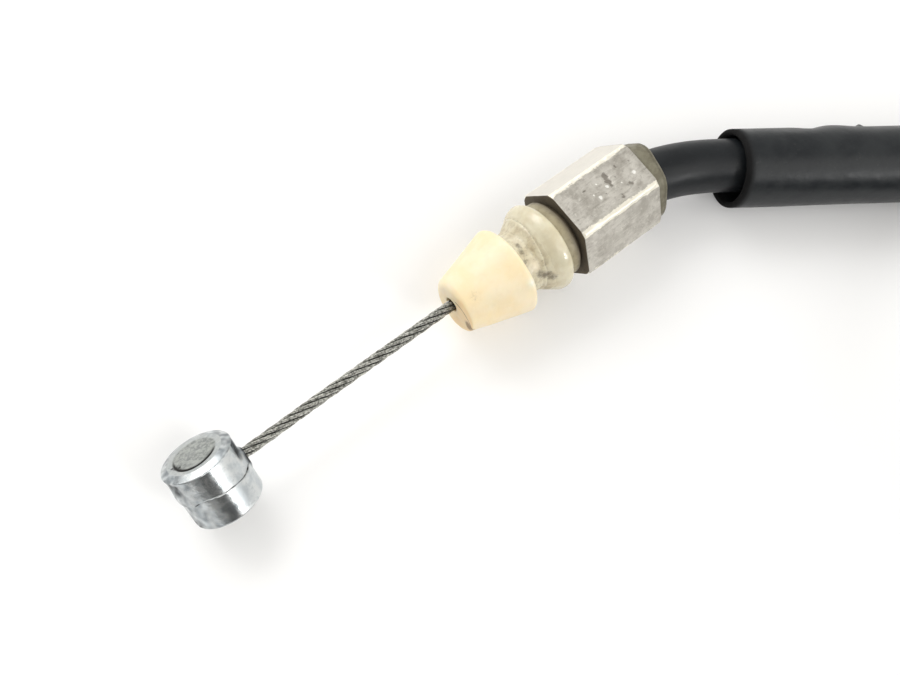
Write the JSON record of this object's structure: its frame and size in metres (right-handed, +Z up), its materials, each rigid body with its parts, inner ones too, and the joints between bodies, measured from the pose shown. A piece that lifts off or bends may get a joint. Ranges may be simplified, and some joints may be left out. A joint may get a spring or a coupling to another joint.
{
  "type": "wire release cable",
  "caption": "Flexible release cable: a wire rope slides in an armoured conduit under a loose sleeve, with a nose cap, hexagon ferrule and barrel nipple at each end, coiled for storage.",
  "frame": {"origin": "centre of the near hexagon ferrule's front face, on the wire's axis", "axes": "+X along the near fitting's axis from the nipple towards the cable, +Z up from the surface that the cable lies on"},
  "size_m": [0.1739, 0.1584, 0.0191],
  "materials": {
    "nipple_metal": "satin",
    "wire_steel": "satin",
    "cap_plastic": "satin",
    "body_plastic": "satin",
    "seal_plastic": "matt",
    "ferrule_metal": "worn",
    "bush_plastic": "matt",
    "sleeve_rubber": "satin",
    "jacket_plastic": "satin",
    "armour_steel": "bright",
    "liner_plastic": "satin"
  },
  "bodies": {
    "cable": {"near_nose_cap": "cap_plastic", "near_snap_body": "body_plastic", "near_seal_ring": "seal_plastic", "near_hex_ferrule": "ferrule_metal", "near_rear_bush": "bush_plastic", "far_nose_cap": "cap_plastic", "far_snap_body": "body_plastic", "far_seal_ring": "seal_plastic", "far_hex_ferrule": "ferrule_metal", "far_rear_bush": "bush_plastic", "sleeve_near_run": "sleeve_rubber", "sleeve_coil": "sleeve_rubber", "sleeve_far_run": "sleeve_rubber", "jacket_near_run": "jacket_plastic", "jacket_coil": "jacket_plastic", "jacket_far_run": "jacket_plastic", "armour_near_run": "armour_steel", "armour_coil": "armour_steel", "armour_far_run": "armour_steel", "liner_near_run": "liner_plastic", "liner_coil": "liner_plastic", "liner_far_run": "liner_plastic", "wire_near_run": "wire_steel", "wire_coil": "wire_steel", "wire_far_run": "wire_steel"},
    "near_end": {"near_nipple": "nipple_metal", "near_wire": "wire_steel"},
    "far_end": {"far_nipple": "nipple_metal", "far_wire": "wire_steel"}
  },
  "joints": [
    {"name": "near_push", "type": "slide", "parent": "cable", "child": "near_end", "axis": [1, 0, 0], "range_m": [0, 0.02605], "deforming": ["wire_near_run"]},
    {"name": "far_push", "type": "slide", "parent": "cable", "child": "far_end", "axis": [-0.8387, 0.5446, 0], "range_m": [0, 0.02605], "deforming": ["wire_far_run"]}
  ],
  "couplings": [
    {"joint": "far_push", "follows": "near_push", "ratio": 1}
  ]
}
